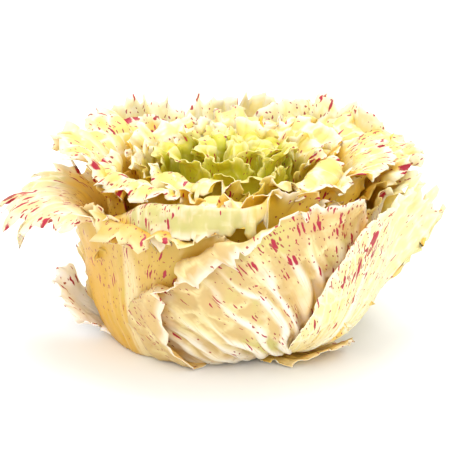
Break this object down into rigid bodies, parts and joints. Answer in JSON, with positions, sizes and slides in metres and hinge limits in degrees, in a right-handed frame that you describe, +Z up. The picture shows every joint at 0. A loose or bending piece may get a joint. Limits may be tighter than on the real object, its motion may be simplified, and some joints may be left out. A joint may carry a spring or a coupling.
{
  "type": "variegated radicchio head",
  "caption": "Loose rose-shaped head of cream Castelfranco radicchio with magenta-streaked frilly leaves, standing upright on its cut stem.",
  "frame": {"origin": "middle of the stem's cut face, on the surface that the head stands on", "axes": "+Z up along the stem, +X to the right seen from the front, -Y towards the front leaf"},
  "size_m": [0.2467, 0.1967, 0.1123],
  "materials": {
    "outer_leaf": "satin, cream to pale gold, white ribs, magenta streaks",
    "rosette_leaf": "satin, cream to yellow, magenta streaks and specks",
    "heart_leaf": "satin, yellow-green, pale frilled margin",
    "stem": "matte, moist cut pith, browned at the rim"
  },
  "bodies": {
    "root": {"back_leaf_left": "outer_leaf", "back_leaf_low": "outer_leaf", "back_leaf_right": "outer_leaf", "cut_stem": "stem", "far_left_leaf": "outer_leaf", "front_leaf": "outer_leaf", "heart_leaf_1": "heart_leaf", "heart_leaf_10": "heart_leaf", "heart_leaf_11": "heart_leaf", "heart_leaf_2": "heart_leaf", "heart_leaf_3": "heart_leaf", "heart_leaf_4": "heart_leaf", "heart_leaf_5": "heart_leaf", "heart_leaf_6": "heart_leaf", "heart_leaf_7": "heart_leaf", "heart_leaf_8": "heart_leaf", "heart_leaf_9": "heart_leaf", "left_leaf": "outer_leaf", "left_tip_leaf": "outer_leaf", "right_leaf": "outer_leaf", "right_tip_leaf": "outer_leaf", "rosette_leaf_1": "rosette_leaf", "rosette_leaf_10": "rosette_leaf", "rosette_leaf_11": "rosette_leaf", "rosette_leaf_12": "rosette_leaf", "rosette_leaf_13": "rosette_leaf", "rosette_leaf_14": "rosette_leaf", "rosette_leaf_15": "rosette_leaf", "rosette_leaf_2": "rosette_leaf", "rosette_leaf_3": "rosette_leaf", "rosette_leaf_4": "rosette_leaf", "rosette_leaf_5": "rosette_leaf", "rosette_leaf_6": "rosette_leaf", "rosette_leaf_7": "rosette_leaf", "rosette_leaf_8": "rosette_leaf", "rosette_leaf_9": "rosette_leaf", "torn_leaf": "outer_leaf"}
  },
  "joints": []
}
